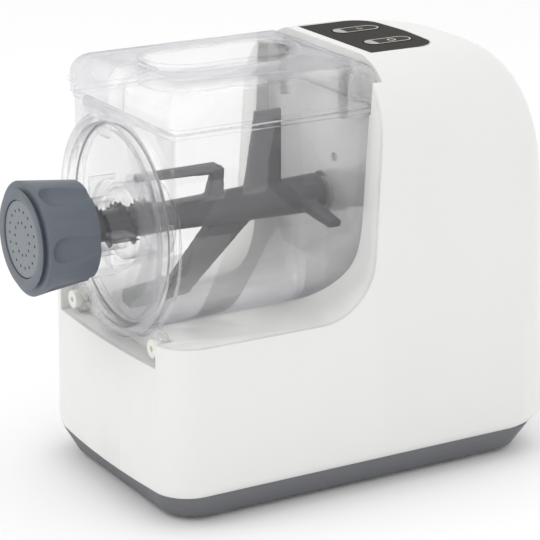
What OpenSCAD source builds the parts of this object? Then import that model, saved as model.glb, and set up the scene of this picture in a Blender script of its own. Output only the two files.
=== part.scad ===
// Electric pasta maker: a white housing with a rear tower, a clear mixing vessel with lid,
// and a front plate whose clamping nut holds the die. The front faces -Y, +Z is up, and the
// origin is at the bottom centre of the bounding box. All lengths are in millimetres.

/* [Housing] */
// Width of the housing at its lower edge
housing_w = 183; // [170:1:200]
// Length of the housing from front to rear
housing_l = 297; // [285:1:320]
// Height of the tower's top above the ground
housing_h = 281; // [278:1:300]
// Wall thickness of the housing
wall = 3; // [2:0.5:4]
// Inward lean of each side between the lower edge and the top
side_lean = 4; // [0:0.5:8]
// Corner radius of the housing's front in plan
front_corner_r = 24; // [15:1:35]
// Corner radius of the housing's rear in plan, near the ground
rear_low_corner_r = 28; // [20:1:45]
// Corner radius of the housing's rear in plan, at the top
rear_top_corner_r = 44; // [20:1:46]
// How far the middle of the front stands ahead of its ends
front_bulge = 3; // [0:0.5:6]
// Height of the rounded shoulders at the tower's front
shoulder_h = 45; // [30:1:60]
// Half width of the flat top between the shoulders at the tower's front
top_flat_half = 37; // [30:1:46]
// Height of the rounded shoulders at the tower's rear
rear_shoulder_h = 90; // [60:1:94]
// Half width of the flat top between the shoulders at the tower's rear
rear_flat_half = 48; // [46:1:56]
// Distance from the housing's front to the tower's front face
tower_y = 160; // [150:1:175]
// Distance from the housing's front to where the top starts to fall to the rear
crown_y = 222; // [210:1:230]
// Height over which the rear wall curves into the top
rear_curve_h = 96; // [80:1:120]

/* [Vessel bay] */
// Height of the bay's side ledges
ledge_z = 119.5; // [112:0.5:124]
// Height of the lower ledge at the housing's front
front_ledge_z = 103.5; // [96:0.5:106]
// Length of the lower front ledge
front_ledge_l = 17; // [14:0.5:22]
// Radius between the ledge and the tower's face
bay_r = 40; // [25:1:50]
// Depth of the recess in the tower's face that takes the vessel's rear
recess_d = 5; // [3:0.5:8]
// Gap between the vessel and the recess around it
recess_gap = 2; // [1:0.5:4]

/* [Base] */
// Width of the base tray where it meets the housing
tray_w = 176; // [165:1:182]
// Length of the base tray where it meets the housing
tray_l = 286; // [275:1:292]
// Height of the line where tray and housing meet
tray_top_z = 20.5; // [16:0.5:26]
// Height of the feet below the tray
foot_h = 4; // [3:0.5:8]
// Radius of a foot
foot_r = 9; // [6:0.5:12]
// How much the tray narrows on each side towards its floor
tray_draft = 8; // [0:0.5:10]

/* [Vessel] */
// Height of the shaft's axis above the ground
shaft_z = 179; // [175:0.5:183]
// Outer half width of the vessel, which is also its bottom radius
vessel_r = 68; // [62:0.5:70]
// Wall thickness of the vessel
vessel_t = 3; // [2:0.5:4]
// Height of the vessel's rim
rim_z = 248.5; // [246:0.5:252]
// Thickness of the flange around the rim
rim_t = 2.5; // [1.5:0.5:4]
// How far the rim's flange stands out
rim_out = 2.5; // [1:0.5:3]
// Gap between the rim's flange and the housing beside it
rim_gap = 1.2; // [0.4:0.1:2]
// Radius of the vessel's rear lower edge
vessel_rear_r = 30; // [10:1:40]
// Distance from the housing's front to the vessel's front wall
vessel_y = 17; // [15:0.5:22]
// Outer radius of the ring at the vessel's front
ring_r = 72; // [70.5:0.5:75]
// Inner radius of that ring
ring_in_r = 66.3; // [64:0.1:67]
// Distance from the housing's front to the ring's front face
ring_y = 7; // [5:0.5:10]

/* [Lid] */
// Gap left between the lid's rear edge and the vessel's rear wall, seen from above
lid_rear_gap = 1.2; // [0.2:0.1:3]
// Height of the lid's top above the ground
lid_top_z = 278.5; // [272:0.5:284]
// Wall thickness of the lid
lid_t = 2.5; // [2:0.25:4]
// Radius of the lid's long upper edges
lid_edge_r = 16; // [8:0.5:20]
// Radius of the lid's front upper edge
lid_front_r = 14; // [8:0.5:18]
// Length of the filling opening
fill_l = 106; // [80:1:108]
// Width of the filling opening
fill_w = 51; // [40:1:56]
// Distance of the filling opening from the lid's middle
fill_x = -12; // [-14:1:0]
// Height of the rim around the filling opening above the lid
fill_rim_h = 1.5; // [0.5:0.5:2]
// Depth of the collar around the filling opening
fill_collar_h = 16; // [8:0.5:20]
// How far the lifting lip reaches ahead of the lid
lip_reach = 17; // [8:0.5:20]
// Radius of the hinge pins
hinge_pin_r = 1.5; // [1:0.25:2]
// Radius of the short pin in the lid's left side
lid_pin_r = 1.75; // [1:0.25:2.5]
// How far that pin stands out of the lid
lid_pin_out = 12; // [6:1:14]

/* [Front plate] */
// Thickness of the front plate
plate_t = 3; // [2:0.5:4]
// Radial gap between the plate and the ring
plate_gap = 0.3; // [0.2:0.05:0.6]
// Outer radius of the neck between plate and nut
neck_r = 26.5; // [24:0.5:27.5]
// Radius of the bore that the feed screw turns in
barrel_r = 16; // [14.5:0.5:18]
// Length of the tube behind the plate
barrel_l = 26; // [15:0.5:30]
// Height of the four ribs on the neck
neck_rib_h = 7; // [3:0.5:10]
// Twist that frees the plate from the ring, in degrees
plate_twist = 30; // [20:1:34]

/* [Clamping nut and die] */
// Distance from the housing's front to the nut's front face
nut_reach = 55; // [50:0.5:62]
// Length of the clamping nut
nut_l = 40; // [34:0.5:44]
// Radius of the nut's front edge
nut_front_r = 31; // [30:0.5:34]
// Radius of the nut's rear edge
nut_rear_r = 36.6; // [34:0.2:39]
// Radius of a finger scallop's round
flute_r = 12; // [8:1:16]
// Distance from the axis to the floor of a scallop
flute_floor_r = 31; // [30:0.2:34]
// Distance from the nut's face to where a scallop's round front ends
flute_start = 15; // [10:1:20]
// Radius of the die's visible face
die_r = 24.4; // [22:0.2:25]
// Thickness of the die
die_t = 6; // [4:0.5:8]
// Radius of one hole in the die
die_hole_r = 1; // [0.6:0.1:1.5]
// Holes on the die's outer circle
die_outer_holes = 18; // [12:1:20]
// Holes on the die's inner circle
die_inner_holes = 12; // [8:1:14]
// Radius of the circle on which the die's outer holes lie
die_outer_r = 18.4; // [16:0.2:20]
// Radius of the circle on which the die's inner holes lie
die_inner_r = 10.5; // [8:0.5:13]

/* [Mixing shaft] */
// Radius of the mixing shaft's hub at the front
hub_front_r = 13; // [11:0.5:14]
// Radius of the hub at the rear
hub_rear_r = 9.5; // [8.5:0.5:11]
// Radius of the feed screw's core
screw_core_r = 10; // [7:0.5:12]
// Gap between the screw's flight and the barrel
screw_gap = 0.8; // [0.4:0.1:1.5]
// Pitch of the feed screw
screw_pitch = 17; // [12:1:24]
// Radius of the journal that turns in the vessel's rear bush
journal_r = 7; // [6:0.25:8]
// Radial running clearance of the turning parts
run_gap = 0.06; // [0.02:0.01:0.1]
// Reach of the long flat blade from the axis
blade_reach = 61; // [50:1:63]

/* [Drive] */
// Tooth size of the first gear stage
module_1 = 1; // [0.8:0.1:1.2]
// Tooth size of the second gear stage
module_2 = 1.25; // [1:0.05:1.4]
// Teeth of the motor pinion
motor_teeth = 12; // [11:1:14]
// Teeth of the idler wheel
idler_teeth = 60; // [56:4:64]
// Teeth of the idler pinion
pinion_teeth = 14; // [13:1:16]
// Teeth of the output wheel
output_teeth = 70; // [66:1:74]
// Radius of the motor's can
motor_r = 30; // [24:1:34]
// Length of the motor's can
motor_l = 58; // [50:1:62]
// Radius of the drive shaft
drive_r = 5; // [4:0.5:5.5]
// Width across the flats of the drive shaft's hexagon
drive_hex = 7.6; // [6:0.2:8]
// Gap around the hexagon in its socket
hex_gap = 0.3; // [0.15:0.05:0.5]

/* [Panel] */
// Width of the control panel
panel_w = 91; // [80:1:96]
// Length of the control panel
panel_l = 53; // [46:1:56]
// Radius of the panel's rear corners
panel_corner_r = 18; // [10:1:24]
// Radius of the panel's curved rear edge
panel_rear_r = 62; // [50:1:90]
// How far the middle of the rear edge stands behind the corners
panel_crown = 2; // [1:0.5:4]
// Distance from the tower's front face to the panel
panel_dy = 13; // [9:1:16]
// Thickness of the panel plate
panel_t = 2; // [1.5:0.25:3]
// Length of a button
button_l = 35; // [28:1:38]
// Width of a button
button_w = 14; // [10:0.5:16]
// Distance from the middle of the panel to a button's middle
button_x = 19.5; // [17:0.5:22]
// Travel of a button
button_travel = 0.8; // [0.4:0.1:1.2]
// Gap around a button
button_gap = 0.4; // [0.3:0.1:0.8]

/* [Cord gland] */
// Bore radius of the cord gland
gland_bore_r = 3.6; // [3:0.1:4.5]
// Length of the cord gland
gland_l = 12; // [8:0.5:16]

/* [Hidden] */
eps = 0.01;
seat_gap = 0.3;                                  // between faces of parts that move apart

// Stations along Y. The nut's face and the housing's rear are equally far from the origin.
front_y = -(housing_l - nut_reach) / 2;
rear_y = front_y + housing_l;
tower_face_y = front_y + tower_y;
recess_y = tower_face_y + recess_d;
ring_front_y = front_y + ring_y;
vessel_front_y = front_y + vessel_y;
vessel_rear_y = recess_y - seat_gap;
nut_face_y = front_y - nut_reach;
nut_back_y = nut_face_y + nut_l;

// Heights
lower_edge_z = tray_top_z + 6.5;                 // where the housing is widest
rim_top_z = rim_z + rim_t;

// ---------------------------------------------------------------- shared shapes

// Rectangle with round corners, centred on X, from y0 to y0 + l.
module round_rect(w, l, y0, r) {
    translate([-w / 2 + r, y0])
        square([w - 2 * r, l]);
    translate([-w / 2, y0 + r])
        square([w, l - 2 * r]);
    for (sx = [-1, 1])
        for (y = [y0 + r, y0 + l - r])
            translate([sx * (w / 2 - r), y])
                circle(r = r, $fn = 64);
}

// Cylinder along +Y from y0, round the axis at (x, z).
module y_cylinder(r, y0, l, x = 0, z = shaft_z, r2 = -1) {
    translate([x, y0 + l, z])
        rotate([90, 0, 0])
            cylinder(r1 = r2 < 0 ? r : r2, r2 = r, h = l, $fn = 96);
}

// Tube along +Y.
module y_tube(r_out, r_in, y0, l, x = 0, z = shaft_z) {
    difference() {
        y_cylinder(r_out, y0, l, x, z);
        y_cylinder(r_in, y0 - 1, l + 2, x, z);
    }
}

// A 2D shape in the XZ plane, pushed along +Y from y0.
module y_extrude(y0, l) {
    translate([0, y0 + l, 0])
        rotate([90, 0, 0])
            linear_extrude(l)
                children();
}

// A 2D shape drawn as (y, z), pushed along X and centred on x = 0.
module x_extrude(w) {
    translate([-w / 2, 0, 0])
        rotate([90, 0, 90])
            linear_extrude(w)
                children();
}

// Screw with a pan head, its head's seat at the origin and its shank along -Z.
module screw(shank_r, shank_l, head_r, head_h) {
    translate([0, 0, -shank_l])
        cylinder(r = shank_r, h = shank_l, $fn = 24);
    difference() {
        cylinder(r = head_r, h = head_h, $fn = 32);
        for (a = [0, 90])
            rotate([0, 0, a])
                translate([-head_r * 0.6, -0.4, head_h * 0.5])
                    cube([head_r * 1.2, 0.8, head_h]);
    }
}

// ---------------------------------------------------------------- housing

// Inward lean of the sides at height z.
function lean_at(z) = side_lean * (z - lower_edge_z) / (housing_h - lower_edge_z);
// Superellipse of power n: 1 up to height h below the top, then falling to 0 at the top.
function arch_at(z, h, n) = pow(max(0, 1 - pow(max(0, (z - housing_h + h) / h), n)), 1 / n);
// Growth from 0 at the tray's joint to 1 at the housing's lower edge.
function foot_at(z) = sin(90 * min(1, (z - tray_top_z) / (lower_edge_z - tray_top_z)));
// Half width at height z for shoulders of height h, power n and flat half width f.
function half_w_at(z, f, h, n) = z < lower_edge_z
    ? tray_w / 2 + (housing_w - tray_w) / 2 * foot_at(z)
    : f + (housing_w / 2 - f - lean_at(min(z, housing_h - h))) * arch_at(z, h, n);
// Rear of the housing at height z.
rear_curve_z = housing_h - rear_curve_h;
function rear_at(z) = z < lower_edge_z
    ? front_y + front_bulge + tray_l + (housing_l - front_bulge - tray_l) * foot_at(z)
    : front_y + crown_y + (housing_l - crown_y) * arch_at(z, rear_curve_h, 3);

// Rear half of the housing's outline at height z, drawn in by d on every side.
module rear_outline(z, d) {
    hw = half_w_at(z, rear_flat_half, rear_shoulder_h, 1.6) - d;
    rise = (z - lower_edge_z) / (housing_h - lower_edge_z);
    r = rear_low_corner_r + (rear_top_corner_r - rear_low_corner_r) * max(0, rise) - d * 0.5;
    for (sx = [-1, 1])
        translate([sx * (hw - r), rear_at(z) - d - r])
            circle(r = r, $fn = 48);
}

// Front half of the housing's outline below the bay, with its slightly bulged front.
module front_outline(z, d) {
    hw = half_w_at(z, rear_flat_half, rear_shoulder_h, 1.6) - d;
    yf = front_y + front_bulge + d;
    r = max(2, front_corner_r - d);
    for (sx = [-1, 1])
        translate([sx * (hw - r), yf + r])
            circle(r = r, $fn = 40);
    for (k = [-3:3])
        translate([k / 3 * (hw - r), yf - front_bulge * (1 - pow(k / 3, 2)) + 1])
            circle(r = 1, $fn = 8);
}

// Front of the tower's outline at height z.
module tower_outline(z, d) {
    hw = half_w_at(z, top_flat_half, shoulder_h, 2) - d;
    for (sx = [-1, 1])
        translate([sx * (hw - 2), tower_face_y - 10])
            circle(r = 2, $fn = 16);
}

// Slice of the housing at height z, moved down by dz.
module housing_slice(z, dz) {
    translate([0, 0, z - dz])
        linear_extrude(eps)
            children();
}

// The housing's outer form, drawn in by d. Thin slices at rising heights are blended.
form_steps = 12;
module housing_form(d) {
    below = d > 0 ? 5 : 0;
    low = [tray_top_z, tray_top_z + 2, lower_edge_z, ledge_z + 20];
    high = [for (k = [0:form_steps]) rear_curve_z + rear_curve_h * pow(sin(90 * k / form_steps), 2 / 3)];
    hull() {
        for (z = low)
            housing_slice(z, z == tray_top_z ? below : 0) {
                rear_outline(z, d);
                front_outline(z, d);
            }
        for (z = high)
            housing_slice(z, eps + d * (z - rear_curve_z) / rear_curve_h) {
                rear_outline(z, d);
                tower_outline(z, d);
            }
    }
}

// Side profile of the bay as (y, z), grown by g.
module bay_profile(g) {
    far = front_y - 60;
    hull() {
        translate([tower_face_y - 9 - bay_r, ledge_z + bay_r])
            circle(r = bay_r + g, $fn = 96);
        translate([far, ledge_z - g])
            square([1, 300]);
        translate([tower_face_y - 4 + g, 250])
            square([eps, eps]);
        translate([tower_face_y - 1 + g, housing_h + 20])
            square([eps, eps]);
    }
}

// Side profile of the vessel as (y, z), with a rounded rear lower edge, grown by g.
module vessel_side(g, y0, top_z = rim_z) {
    r = vessel_rear_r + g;
    y1 = vessel_rear_y + g;
    z0 = shaft_z - vessel_r - g;
    translate([y0, z0])
        square([y1 - r - y0, top_z - z0]);
    translate([y0, z0 + r])
        square([y1 - y0, top_z - z0 - r]);
    translate([y1 - r, z0 + r])
        circle(r = r, $fn = 96);
}

// Section of the vessel in the XZ plane: straight sides over a half round bottom, grown by g.
module vessel_section(g, top_z = rim_z) {
    translate([0, shaft_z])
        circle(r = vessel_r + g, $fn = 128);
    translate([-vessel_r - g, shaft_z])
        square([2 * (vessel_r + g), top_z - shaft_z]);
}

// All the space that the bay takes out of the housing, with walls of thickness g left round it.
module bay_space(g) {
    x_extrude(housing_w + 20)
        bay_profile(g);
    // recess and trough for the vessel, wider from the rim's flange upwards
    intersection() {
        y_extrude(front_y - 10, recess_y + g - front_y + 10) {
            vessel_section(recess_gap + g, lid_top_z + 40);
            translate([-rim_room_half - g, rim_z - rim_gap - g])
                square([2 * (rim_room_half + g), lid_top_z + 40 - rim_z + rim_gap + g]);
        }
        x_extrude(housing_w)
            vessel_side(recess_gap + g, front_y - 10, lid_top_z + 40);
    }
    // space for the ring at the front
    y_cylinder(ring_r + 1.5 + g, front_y - 10, 10 + vessel_y + 4 + g);
    // lower front ledge between the corner posts
    translate([-front_ledge_w / 2 - g, front_y - 10, front_ledge_z - g])
        cube([front_ledge_w + 2 * g, 10 + front_ledge_l + g, 60]);
}
front_ledge_w = 2 * (vessel_r - 1);
rim_room_half = vessel_r + rim_out + rim_gap;
sensor_x = 15;
sensor_z = shaft_z + 27;
sensor_r = 3;
post_x = housing_w / 2 - 18;
rib_end_x = max(housing_w, tray_w) / 2 + 1;      // past the side wall, where the rib is trimmed
post_front_y = front_y + 46;
post_rear_y = rear_y - 56;
post_r = 5;
gland_x = -38;
gland_z = tray_top_z + 22;
gland_r = gland_bore_r + 4;

// Plane where the front and rear mouldings of the housing and of its bay meet.
joint_y = recess_y - eps;
module ahead_of_joint() {
    intersection() {
        children();
        translate([-housing_w, joint_y - 2 * housing_l, 0])
            cube([2 * housing_w, 2 * housing_l, 2 * housing_h]);
    }
}
module behind_joint() {
    intersection() {
        children();
        translate([-housing_w, joint_y, 0])
            cube([2 * housing_w, 2 * housing_l, 2 * housing_h]);
    }
}

// Wall round the bay.
module bay_liner() {
    difference() {
        intersection() {
            housing_form(wall);
            bay_space(wall);
        }
        bay_space(0);
    }
}

// Front moulding: the low body ahead of the tower and the cheeks beside the recess.
module housing_front() {
    color("whitesmoke")
    ahead_of_joint()
        housing_body();
}

// Rear moulding: the tower.
module housing_shell() {
    color("whitesmoke")
    behind_joint()
        housing_body();
}

// Housing before it is divided, hollow and open at the bay.
module housing_body() {
    difference() {
        intersection() {
            housing_form(0);
            union() {
                difference() {
                    translate([-rib_end_x, front_y, tray_top_z])
                        cube([2 * rib_end_x, max(housing_l, tray_l + front_bulge), housing_h]);
                    housing_form(wall);
                    bay_space(0);
                }
                // bed under the control panel
                panel_place()
                    translate([0, 0, -panel_t - trim_t - 3])
                        linear_extrude(4)
                            difference() {
                                panel_outline(2);
                                panel_outline(-4);
                            }
                // screw posts, each tied to the side wall by a rib
                for (sx = [-1, 1])
                    for (y = [post_front_y, post_rear_y]) {
                        translate([sx * post_x, y, tray_top_z + 1])
                            cylinder(r = post_r, h = 60, $fn = 48);
                        translate([min(sx * post_x, sx * rib_end_x), y - 1.25, tray_top_z + 7])
                            cube([rib_end_x - post_x, 2.5, 52]);
                    }
            }
        }
        for (sx = [-1, 1])
            for (y = [post_front_y, post_rear_y])
                translate([sx * post_x, y, tray_top_z])
                    cylinder(r = screw_r, h = 26, $fn = 24);
        y_cylinder(gland_r, rear_y - 30, 40, gland_x, gland_z);
        panel_place()
            translate([0, 0, -panel_t - trim_t])
                linear_extrude(30)
                    panel_outline(trim_t);
        panel_place()
            translate([0, 0, -20])
                linear_extrude(30)
                    panel_outline(-4);
    }
}
screw_r = 1.5;

// Ledges, trough and sides of the bay, up to the recess's rear wall.
module vessel_deck() {
    color("white")
    ahead_of_joint()
        bay_liner();
}

// Rear wall of the recess.
module deck_back() {
    color("white")
    difference() {
        behind_joint()
            bay_liner();
        y_cylinder(collar_r + 1, recess_y - 5, 20);
        y_cylinder(sensor_r + 0.4, recess_y - 5, 20, sensor_x, sensor_z);
    }
    // rim behind the hole for the vessel's collar, and bosses that carry the gearbox
    color("white")
    y_tube(collar_r + 3.5, collar_r + 1, deck_back_y - eps, case_y - deck_back_y + eps);
    color("white")
    for (sx = [-1, 1])
        for (z = [gearbox_screw_zs[2], gearbox_screw_zs[3]])
            y_tube(4, screw_r, deck_back_y - eps, case_y - deck_back_y + eps, sx * gearbox_screw_x, z);
}

// ---------------------------------------------------------------- base

module tray_outline(d) {
    round_rect(tray_w - 2 * d, tray_l - 2 * d, front_y + front_bulge + d, front_corner_r);
}

module base_tray() {
    floor_t = 2.5;
    color("dimgray")
    difference() {
        hull() {
            translate([0, 0, tray_top_z - eps])
                linear_extrude(eps)
                    tray_outline(0);
            translate([0, 0, foot_h])
                linear_extrude(eps)
                    tray_outline(tray_draft);
        }
        translate([0, 0, foot_h + floor_t])
            linear_extrude(tray_top_z)
                tray_outline(tray_draft + 3);
        // cooling slots in the floor
        for (k = [-5:5])
            translate([k * 9 - 1.25, rear_y - 110, foot_h - 1])
                cube([2.5, 40, 10]);
        for (sx = [-1, 1])
            for (y = [post_front_y, post_rear_y])
                translate([sx * post_x, y, 0])
                    cylinder(r = screw_r + 0.4, h = 40, $fn = 24);
    }
    // posts that carry the screws up to the housing
    color("dimgray")
    for (sx = [-1, 1])
        for (y = [post_front_y, post_rear_y])
            translate([sx * post_x, y, foot_h + floor_t - eps])
                difference() {
                    cylinder(r = post_r, h = tray_top_z + 1 - foot_h - floor_t + eps, $fn = 48);
                    translate([0, 0, -1])
                        cylinder(r = screw_r + 0.4, h = 40, $fn = 24);
                }
    // stand-offs under the power board
    color("dimgray")
    for (x = [-1, 1])
        for (y = [0, 1])
            translate([x * (board_w / 2 - 5), board_y + 5 + y * (board_l - 10), foot_h + floor_t - eps])
                difference() {
                    cylinder(r = 3.5, h = board_z - foot_h - floor_t + eps, $fn = 32);
                    translate([0, 0, 4])
                        cylinder(r = 1, h = 40, $fn = 20);
                }
}

foot_x = tray_w / 2 - tray_draft - front_corner_r + 4;
foot_front_y = front_y + front_bulge + tray_draft + front_corner_r - 4;
foot_rear_y = front_y + front_bulge + tray_l - tray_draft - front_corner_r + 4;

// Rubber foot with a plug that is pressed into the tray's floor.
module foot(x, y) {
    color("black")
    translate([x, y, 0])
        rotate_extrude($fn = 48)
            polygon([[0, 0], [foot_r - 1, 0], [foot_r, 1], [foot_r, foot_h], [0, foot_h]]);
}
module foot_front_left() { foot(-foot_x, foot_front_y); }
module foot_front_right() { foot(foot_x, foot_front_y); }
module foot_rear_left() { foot(-foot_x, foot_rear_y); }
module foot_rear_right() { foot(foot_x, foot_rear_y); }

module tray_screws() {
    color("silver")
    for (sx = [-1, 1])
        for (y = [post_front_y, post_rear_y])
            translate([sx * post_x, y, foot_h])
                rotate([180, 0, 0])
                    screw(screw_r, 34, 3.2, 2);
}

// ---------------------------------------------------------------- control panel

panel_z = housing_h - 0.3;
trim_t = 0.8;
// Carries a shape drawn at z = 0 up to the panel's top face.
module panel_place() {
    translate([0, tower_face_y + panel_dy, panel_z])
        children();
}

// Panel outline with a straight front and a rounded rear, grown by g.
module panel_outline(g) {
    half = panel_w / 2 - panel_corner_r;
    hull() {
        translate([-panel_w / 2 - g, -g])
            square([panel_w + 2 * g, 4]);
        for (sx = [-1, 1])
            translate([sx * half, panel_l - panel_corner_r])
                circle(r = panel_corner_r + g, $fn = 64);
        // rear edge, taken from the far part of its circle only
        translate([0, panel_l + panel_crown - panel_rear_r])
            intersection() {
                circle(r = panel_rear_r + g, $fn = 128);
                translate([-half, panel_rear_r * 0.8])
                    square([2 * half, panel_rear_r]);
            }
    }
}

module button_outline(g, x) {
    w = button_w + 2 * g;
    translate([x, button_y])
        for (s = [-1, 1]) {
            translate([0, s * (button_l - button_w) / 2])
                circle(r = w / 2, $fn = 48);
            translate([-w / 2, min(0, s * (button_l - button_w) / 2)])
                square([w, (button_l - button_w) / 2]);
        }
}
button_y = 29;
lens_l = 8;
cap_proud = 0.2;

module panel_trim() {
    color("gainsboro")
    panel_place()
        difference() {
            translate([0, 0, -panel_t - trim_t])
                linear_extrude(panel_t + trim_t)
                    panel_outline(trim_t);
            translate([0, 0, -panel_t])
                linear_extrude(20)
                    panel_outline(0);
            translate([0, 0, -20])
                linear_extrude(30)
                    panel_outline(-4);
        }
}

module control_panel() {
    color("darkslategray")
    panel_place()
        translate([0, 0, -panel_t])
            linear_extrude(panel_t)
                difference() {
                    panel_outline(0);
                    for (sx = [-1, 1])
                        button_outline(button_gap, sx * button_x);
                }
}

// Button cap with a stem that stands over its switch, and a bed for the lens at its front end.
module button(x) {
    panel_place()
        difference() {
            union() {
                translate([0, 0, -panel_t - 1.5])
                    linear_extrude(panel_t + 1.5 + cap_proud)
                        button_outline(0, x);
                translate([0, 0, -panel_t - 1.5])
                    linear_extrude(1.5 - seat_gap)
                        button_outline(1.2, x);
                translate([x, button_y, -switch_top])
                    cylinder(r = 2, h = switch_top - panel_t, $fn = 32);
            }
            translate([0, 0, cap_proud - 1])
                linear_extrude(5)
                    intersection() {
                        button_outline(-1.2, x);
                        lens_area(x);
                    }
        }
}
switch_top = 7.5;
module lens_area(x) {
    translate([x - button_w, button_y - button_l / 2 - 1])
        square([2 * button_w, lens_l + 1]);
}
module start_button() { color("dimgray") button(-button_x); }
module power_button() { color("dimgray") button(button_x); }

module lens(x) {
    color("lightgray")
    panel_place()
        translate([0, 0, cap_proud - 1])
            linear_extrude(1)
                intersection() {
                    button_outline(-1.2, x);
                    lens_area(x);
                }
}
module start_lens() { lens(-button_x); }
module power_lens() { lens(button_x); }

pcb_t = 1.6;
pcb_drop = switch_top + button_travel + 3.5 + pcb_t;   // underside of the control board
module control_pcb() {
    color("darkgreen")
    panel_place()
        translate([-37, 5, -pcb_drop])
            cube([74, 44, pcb_t]);
    // pillars that hang the board from the trim's rim
    color("darkgreen")
    panel_place()
        for (x = [-34, 34])
            for (y = [9, 42])
                translate([x, y, -pcb_drop + pcb_t - eps])
                    cylinder(r = 2.5, h = pcb_drop - pcb_t - panel_t, $fn = 32);
}

module tact_switches() {
    color("black")
    panel_place()
        for (sx = [-1, 1])
            translate([sx * button_x, button_y, -pcb_drop + pcb_t]) {
                translate([-3, -3, 0])
                    cube([6, 6, 2.5]);
                translate([0, 0, 2.5 - eps])
                    cylinder(r = 1.7, h = 1 - seat_gap + eps, $fn = 32);
            }
}

// ---------------------------------------------------------------- gears

pressure_angle = 20;
function involute(a) = tan(a) * 180 / PI - a;
function flank_angle(rb, r) = involute(acos(min(1, rb / r)));

// Polygon of an involute spur gear: teeth n, tooth size m, addendum factor, phase of tooth 0.
function gear_points(n, m, addendum, phase, slack = 0.07) =
    let (rp = n * m / 2,
        rb = rp * cos(pressure_angle),
        ra = rp + addendum * m,
        rd = rp - 1.25 * m,
        half = 90 / n - slack / rp * 180 / PI + involute(pressure_angle),
        steps = [0, 0.3, 0.65, 1],
        start = max(rb, rd))
    [for (i = [0:n - 1])
        let (c = phase + i * 360 / n)
        each concat(
            [[rd * cos(c - half), rd * sin(c - half)]],
            [for (s = steps)
                let (r = start + (ra - start) * s, h = half - flank_angle(rb, r))
                [r * cos(c - h), r * sin(c - h)]],
            [for (s = steps)
                let (r = ra + (start - ra) * s, h = half - flank_angle(rb, r))
                [r * cos(c + h), r * sin(c + h)]],
            [[rd * cos(c + half), rd * sin(c + half)]])];

module gear(n, m, addendum, phase, y0, w, z) {
    translate([0, y0 + w, z])
        rotate([90, 0, 0])
            linear_extrude(w)
                polygon(gear_points(n, m, addendum, phase));
}

// Axes of the gear train, straight below the mixing shaft.
idler_z = shaft_z - module_2 * (pinion_teeth + output_teeth) / 2;
motor_z = idler_z - module_1 * (motor_teeth + idler_teeth) / 2;

// Stations of the gearbox behind the tower's face.
deck_back_y = recess_y + wall;
case_y = deck_back_y + 6;
case_t = 4;
output_w = 11;
idler_w = 8;
output_y = case_y + case_t + 2;
idler_y = output_y + output_w + 2;
cover_y = idler_y + idler_w + 2;
cover_t = 4;
case_rim = 3;
case_half_w = output_teeth * module_2 / 2 + 6;
case_top_z = shaft_z + case_half_w;
case_low_z = motor_z - motor_r - 3;
gearbox_screw_x = case_half_w - 4;
gearbox_screw_zs = [case_low_z + 6, motor_z + 36, idler_z + 24, case_top_z - 6];

// Outline of the gearbox in the XZ plane, drawn in by d.
module gearbox_outline(d) {
    w = case_half_w - d;
    translate([-w, case_low_z + d])
        square([2 * w, case_top_z - case_low_z - 2 * d]);
}

// Holes for the lower screws start at y_low, those for the upper ones at y_high.
module gearbox_screw_holes(r, y_low, y_high, l) {
    for (sx = [-1, 1])
        for (k = [0:3])
            y_cylinder(r, k < 2 ? y_low : y_high, l, sx * gearbox_screw_x, gearbox_screw_zs[k]);
}

module gearbox_case() {
    color("lightgray")
    difference() {
        union() {
            difference() {
                y_extrude(case_y, cover_y - case_y)
                    gearbox_outline(0);
                y_extrude(case_y + case_t, cover_y - case_y)
                    gearbox_outline(case_rim);
            }
            for (sx = [-1, 1])
                for (z = gearbox_screw_zs)
                    y_cylinder(3.6, case_y + case_t - eps, cover_y - case_y - case_t + eps,
                        sx * gearbox_screw_x, z);
            y_cylinder(9, case_y + case_t - eps, 1, 0, shaft_z);
            y_cylinder(7, case_y + case_t - eps, 1, 0, idler_z);
        }
        y_cylinder(bush_r, case_y - 1, 20);
        y_cylinder(axle_r, case_y + 1, 20, 0, idler_z);
        y_cylinder(sensor_r + 7, case_y - 1, 40, sensor_x, sensor_z);
        gearbox_screw_holes(screw_r, case_y + 6, case_y - 1, 60);
    }
}
bush_r = drive_r + 2.5;
axle_r = 3;
motor_shaft_r = 2.5;

module gearbox_cover() {
    color("silver")
    difference() {
        y_extrude(cover_y, cover_t)
            gearbox_outline(0);
        y_cylinder(bush_r, cover_y - 1, 20);
        y_cylinder(axle_r, cover_y - 1, 20, 0, idler_z);
        y_cylinder(motor_boss_r, cover_y - 1, 20, 0, motor_z);
        gearbox_screw_holes(screw_r + 0.3, cover_y - 1, cover_y - 1, 60);
        for (a = motor_screw_as)
            y_cylinder(screw_r + 0.3, cover_y - 1, 20,
                motor_screw_r * cos(a), motor_z + motor_screw_r * sin(a));
    }
}
motor_boss_r = 7;
motor_screw_r = 18;
motor_screw_as = [45, 225];
vent_ring_r = 18;                                // circle of the motor's air holes
vent_r = 4;

module gearbox_screws() {
    color("silver")
    for (sx = [-1, 1])
        for (k = [0:3])
            translate([sx * gearbox_screw_x, cover_y + cover_t, gearbox_screw_zs[k]])
                rotate([-90, 0, 0])
                    screw(screw_r, cover_y + cover_t - (k < 2 ? case_y + 8 : deck_back_y + 1), 3, 2);
}

module idler_axle() {
    color("silver")
    y_cylinder(axle_r, case_y + 1, cover_y + cover_t - case_y - 1, 0, idler_z);
}

module drive_bush(y0, flange_y) {
    color("goldenrod")
    difference() {
        union() {
            y_cylinder(bush_r, y0, flange_y + 1 - y0);
            y_cylinder(bush_r + 1.5, flange_y, 1);
        }
        y_cylinder(drive_r + run_gap, y0 - 5, flange_y - y0 + 10);
    }
}
module drive_bush_front() { drive_bush(case_y, case_y + case_t + 1); }
module drive_bush_rear() { drive_bush(cover_y, cover_y + cover_t); }

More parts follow.
